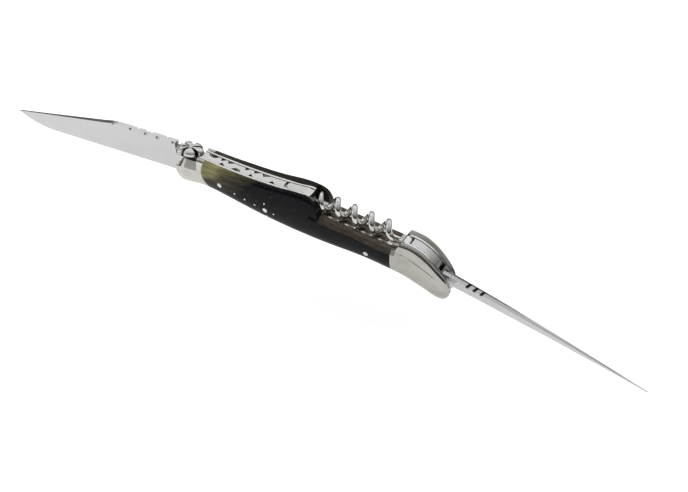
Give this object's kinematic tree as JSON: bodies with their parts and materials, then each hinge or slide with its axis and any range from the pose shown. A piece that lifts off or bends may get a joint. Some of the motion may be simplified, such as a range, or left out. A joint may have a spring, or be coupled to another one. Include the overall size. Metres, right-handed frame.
{
  "type": "folding pocket knife with corkscrew",
  "caption": "Folding pocket knife with curved horn handle, filed back spring, slender blade, pivoting corkscrew on a stepped shelf and a long tapering awl.",
  "frame": {"origin": "middle of the grip: centre plane, half way along the closed handle, 3 mm below the blade pivot's level", "axes": "+X along the handle from the blade end to the awl end; +Z out of the back, the spring side; +Y the far side as seen in the usual view"},
  "size_m": [0.2808, 0.014, 0.0463],
  "materials": {
    "near_horn": "polished dark horn, translucent olive at the front",
    "far_horn": "brown-black satin horn",
    "liner_steel": "polished",
    "bolster_steel": "polished steel",
    "pin_metal": "polished",
    "spacer_steel": "dull",
    "washer_metal": "plain",
    "blade_steel": "mirror ground",
    "worm_steel": "polished wire",
    "awl_steel": "brushed lengthwise",
    "spring_steel": "satin, filed by hand",
    "rear_spring_steel": "satin"
  },
  "bodies": {
    "handle": {"near_scale": "near_horn", "far_scale": "far_horn", "near_liner": "liner_steel", "far_liner": "liner_steel", "near_front_bolster": "bolster_steel", "far_front_bolster": "bolster_steel", "near_rear_bolster": "bolster_steel", "far_rear_bolster": "bolster_steel", "near_scale_rivets": "pin_metal", "far_scale_rivets": "pin_metal", "near_cross_pins": "pin_metal", "centre_spacer": "spacer_steel", "blade_washer": "washer_metal", "awl_washer": "washer_metal", "blade_pivot_pin": "bolster_steel", "corkscrew_pivot_pin": "bolster_steel", "awl_pivot_pin": "pin_metal", "back_spring_pin": "pin_metal", "rear_spring_pin": "bolster_steel"},
    "blade": {"blade": "blade_steel"},
    "corkscrew": {"corkscrew": "worm_steel"},
    "awl": {"awl": "awl_steel"},
    "back_spring": {"back_spring": "spring_steel", "spring_rosette": "spring_steel"},
    "rear_spring": {"rear_spring": "rear_spring_steel"}
  },
  "joints": [
    {"name": "blade_pivot", "type": "hinge", "parent": "handle", "child": "blade", "pos_m": [-0.0547, 0, 0.003], "axis": [0, -1, 0], "range_deg": [0, 172.5]},
    {"name": "corkscrew_pivot", "type": "hinge", "parent": "handle", "child": "corkscrew", "pos_m": [0.0402, 0, -0.0015], "axis": [0, 1, 0], "range_deg": [0, 90]},
    {"name": "awl_pivot", "type": "hinge", "parent": "handle", "child": "awl", "pos_m": [0.0546, 0, -0.0129], "axis": [0, 1, 0], "range_deg": [0, 176]},
    {"name": "spring_lift", "type": "hinge", "parent": "handle", "child": "back_spring", "pos_m": [-0.00358, 0, 0.00709], "axis": [0, 1, 0], "range_deg": [0, 1.3], "stiffness_Nm_per_rad": 5},
    {"name": "rear_spring_lift", "type": "hinge", "parent": "handle", "child": "rear_spring", "pos_m": [0.0454, 0, -0.00079], "axis": [0, -1, 0], "range_deg": [0, 1.5], "stiffness_Nm_per_rad": 3}
  ]
}
